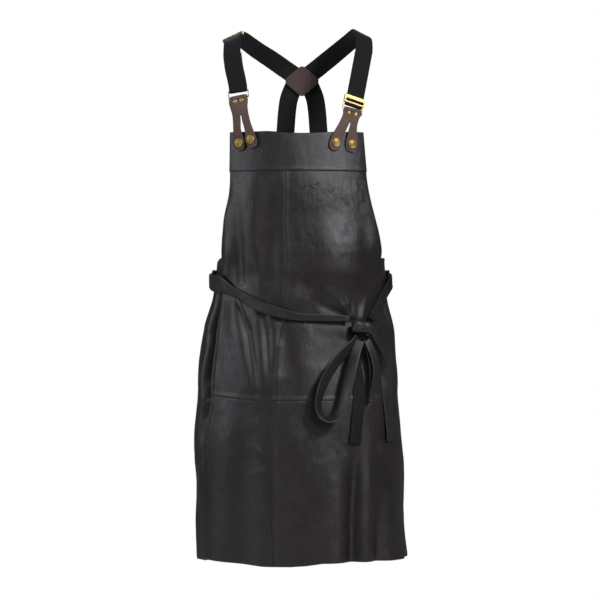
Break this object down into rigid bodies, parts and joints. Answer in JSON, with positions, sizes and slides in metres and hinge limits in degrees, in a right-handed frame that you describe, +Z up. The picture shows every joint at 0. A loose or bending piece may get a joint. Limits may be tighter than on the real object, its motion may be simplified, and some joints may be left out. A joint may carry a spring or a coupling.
{
  "type": "bib apron",
  "caption": "Dark leather bib apron in its worn shape: crossed elastic suspenders with brass slides and buttoned leather tabs, pleated skirt, waist tie in a bow.",
  "frame": {"origin": "middle of the shoulder line, level with the tops of the front straps, where the apron is held up", "axes": "+Z up, the apron's front faces -Y, +X to the right of someone looking at the front"},
  "size_m": [0.416, 0.2707, 1.039],
  "materials": {
    "leather": "soft semi-matte dark brown-black nappa",
    "tab_leather": "matte dark brown waxed leather",
    "webbing": "black woven elastic",
    "brass": "antique brass, worn bright on its edges",
    "nickel": "nickel-plated wire"
  },
  "bodies": {
    "apron": {"bib_panel_left": "leather", "bib_panel_right": "leather", "skirt_panel_left": "leather", "skirt_panel_right": "leather", "side_panel_left": "leather", "side_panel_right": "leather", "shoulder_strap_left": "webbing", "shoulder_strap_right": "webbing", "back_strap_left": "webbing", "back_strap_right": "webbing", "cross_patch_inner": "tab_leather", "cross_patch_outer": "tab_leather", "button_tab_left": "tab_leather", "tab_ring_left": "nickel", "tab_rivets_left": "brass", "button_tacks_left": "nickel", "button_tab_right": "tab_leather", "tab_ring_right": "nickel", "tab_rivets_right": "brass", "button_tacks_right": "nickel", "top_band": "leather", "back_tab_left": "tab_leather", "back_tab_rivets_left": "brass", "back_tab_right": "tab_leather", "back_tab_rivets_right": "brass", "waist_tie_left": "leather", "waist_tie_right": "leather", "bow_knot": "leather"},
    "slide_left": {"strap_slide_left": "brass"},
    "slide_right": {"strap_slide_right": "brass"},
    "button_left_outer": {"button_left_outer": "brass"},
    "button_left_inner": {"button_left_inner": "brass"},
    "button_right_outer": {"button_right_outer": "brass"},
    "button_right_inner": {"button_right_inner": "brass"},
    "loop_left": {"bow_loop_left": "leather"},
    "loop_right": {"bow_loop_right": "leather"},
    "tail_left": {"tie_tail_left": "leather"},
    "tail_right": {"tie_tail_right": "leather"}
  },
  "joints": [
    {"name": "slide_left_travel", "type": "slide", "parent": "apron", "child": "slide_left", "axis": [0.0394, 0.9571, 0.2871], "range_m": [-0.006, 0.006]},
    {"name": "slide_right_travel", "type": "slide", "parent": "apron", "child": "slide_right", "axis": [0.1793, 0.305, 0.9353], "range_m": [0, 0.092]},
    {"name": "button_left_outer_swivel", "type": "hinge", "parent": "apron", "child": "button_left_outer", "pos_m": [-0.11716, -0.07955, -0.20935], "axis": [-0.3659, -0.9295, -0.0474], "continuous": true},
    {"name": "button_left_inner_swivel", "type": "hinge", "parent": "apron", "child": "button_left_inner", "pos_m": [-0.0945, -0.08878, -0.20335], "axis": [-0.3659, -0.9295, -0.0474], "continuous": true},
    {"name": "button_right_outer_swivel", "type": "hinge", "parent": "apron", "child": "button_right_outer", "pos_m": [0.0992, -0.08216, -0.21177], "axis": [0.3381, -0.9398, -0.0497], "continuous": true},
    {"name": "button_right_inner_swivel", "type": "hinge", "parent": "apron", "child": "button_right_inner", "pos_m": [0.06904, -0.09316, -0.20894], "axis": [0.3381, -0.9398, -0.0497], "continuous": true},
    {"name": "tail_left_swing", "type": "hinge", "parent": "apron", "child": "tail_left", "pos_m": [0.10436, -0.0997, -0.588], "axis": [-0.8934, -0.4493, 0], "range_deg": [0, 35]},
    {"name": "tail_right_swing", "type": "hinge", "parent": "apron", "child": "tail_right", "pos_m": [0.13417, -0.08641, -0.588], "axis": [-0.8934, -0.4493, 0], "range_deg": [0, 35]},
    {"name": "loop_left_swing", "type": "hinge", "parent": "tail_left", "child": "loop_left", "pos_m": [0.10437, -0.11154, -0.597], "axis": [-0.8934, -0.4493, 0], "range_deg": [0, 35]},
    {"name": "loop_right_swing", "type": "hinge", "parent": "tail_right", "child": "loop_right", "pos_m": [0.13223, -0.09541, -0.601], "axis": [-0.8934, -0.4493, 0], "range_deg": [0, 35]}
  ]
}
